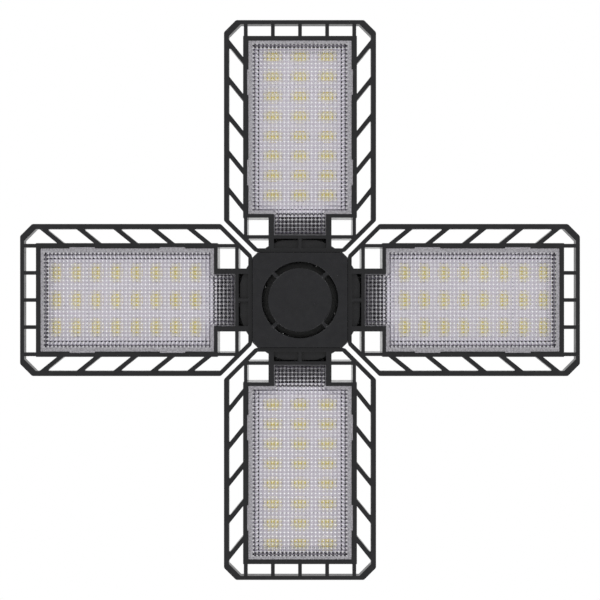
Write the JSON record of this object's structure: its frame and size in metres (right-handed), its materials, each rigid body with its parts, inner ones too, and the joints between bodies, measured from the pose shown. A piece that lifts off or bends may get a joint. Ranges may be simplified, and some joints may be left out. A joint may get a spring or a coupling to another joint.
{
  "type": "folding LED garage light",
  "caption": "Ceiling light for a screw socket: a round hub with hinged, cross-shaped LED panels that fold back towards the base, each a truss frame with a prismatic lens.",
  "frame": {"origin": "centre of the seat where the screw shell meets the neck; the light hangs below it", "axes": "+Z along the screw base's axis, towards the socket; +X along panel 1, +Y along panel 2; the LEDs face -Z"},
  "size_m": [0.357, 0.357, 0.1072],
  "materials": {
    "frame_black": "fine matt black moulding",
    "hub_black": "fine matt black moulding",
    "cap_black": "satin black moulding",
    "lens_clear": "clear plastic with small pyramid prisms",
    "board_white": "aluminium-core board with white solder mask",
    "led_phosphor": "yellow phosphor under clear resin",
    "sink_aluminium": "natural extruded aluminium",
    "steel": "zinc-plated",
    "screw_black": "black oxide",
    "shell_nickel": "nickel-plated sheet",
    "insulator_black": "glossy black",
    "contact_brass": "tinned",
    "circuit_green": "circuit board with green solder mask",
    "transformer_tape": "ferrite core with yellow tape",
    "capacitor_sleeve": "black shrink sleeve",
    "component_dark": "dark coated components",
    "wire_insulation": "white insulation"
  },
  "bodies": {
    "hub": {"screw_shell": "shell_nickel", "shell_insulator": "insulator_black", "centre_contact": "contact_brass", "base_neck": "hub_black", "driver_housing": "hub_black", "hinge_ring": "hub_black", "front_cap": "cap_black", "cap_screws": "steel", "housing_screws": "steel", "driver_board": "circuit_green", "board_screws": "steel", "driver_transformer": "transformer_tape", "driver_capacitors": "capacitor_sleeve", "driver_small_parts": "component_dark", "supply_wires": "wire_insulation", "hub_leads": "wire_insulation"},
    "panel_1": {"panel_1_frame": "frame_black", "panel_1_heat_sink": "sink_aluminium", "panel_1_led_board": "board_white", "panel_1_led_chips": "led_phosphor", "panel_1_lens": "lens_clear", "panel_1_hinge_pin": "steel", "panel_1_friction_washers": "steel", "panel_1_back_screws": "screw_black", "panel_1_leads": "wire_insulation"},
    "panel_2": {"panel_2_frame": "frame_black", "panel_2_heat_sink": "sink_aluminium", "panel_2_led_board": "board_white", "panel_2_led_chips": "led_phosphor", "panel_2_lens": "lens_clear", "panel_2_hinge_pin": "steel", "panel_2_friction_washers": "steel", "panel_2_back_screws": "screw_black", "panel_2_leads": "wire_insulation"},
    "panel_3": {"panel_3_frame": "frame_black", "panel_3_heat_sink": "sink_aluminium", "panel_3_led_board": "board_white", "panel_3_led_chips": "led_phosphor", "panel_3_lens": "lens_clear", "panel_3_hinge_pin": "steel", "panel_3_friction_washers": "steel", "panel_3_back_screws": "screw_black", "panel_3_leads": "wire_insulation"},
    "panel_4": {"panel_4_frame": "frame_black", "panel_4_heat_sink": "sink_aluminium", "panel_4_led_board": "board_white", "panel_4_led_chips": "led_phosphor", "panel_4_lens": "lens_clear", "panel_4_hinge_pin": "steel", "panel_4_friction_washers": "steel", "panel_4_back_screws": "screw_black", "panel_4_leads": "wire_insulation"}
  },
  "joints": [
    {"name": "panel_1_fold", "type": "hinge", "parent": "hub", "child": "panel_1", "pos_m": [0.043, 0, -0.06], "axis": [0, -1, 0], "range_deg": [0, 90]},
    {"name": "panel_2_fold", "type": "hinge", "parent": "hub", "child": "panel_2", "pos_m": [0, 0.043, -0.06], "axis": [1, 0, 0], "range_deg": [0, 90]},
    {"name": "panel_3_fold", "type": "hinge", "parent": "hub", "child": "panel_3", "pos_m": [-0.043, 0, -0.06], "axis": [0, 1, 0], "range_deg": [0, 90]},
    {"name": "panel_4_fold", "type": "hinge", "parent": "hub", "child": "panel_4", "pos_m": [0, -0.043, -0.06], "axis": [-1, 0, 0], "range_deg": [0, 90]}
  ]
}
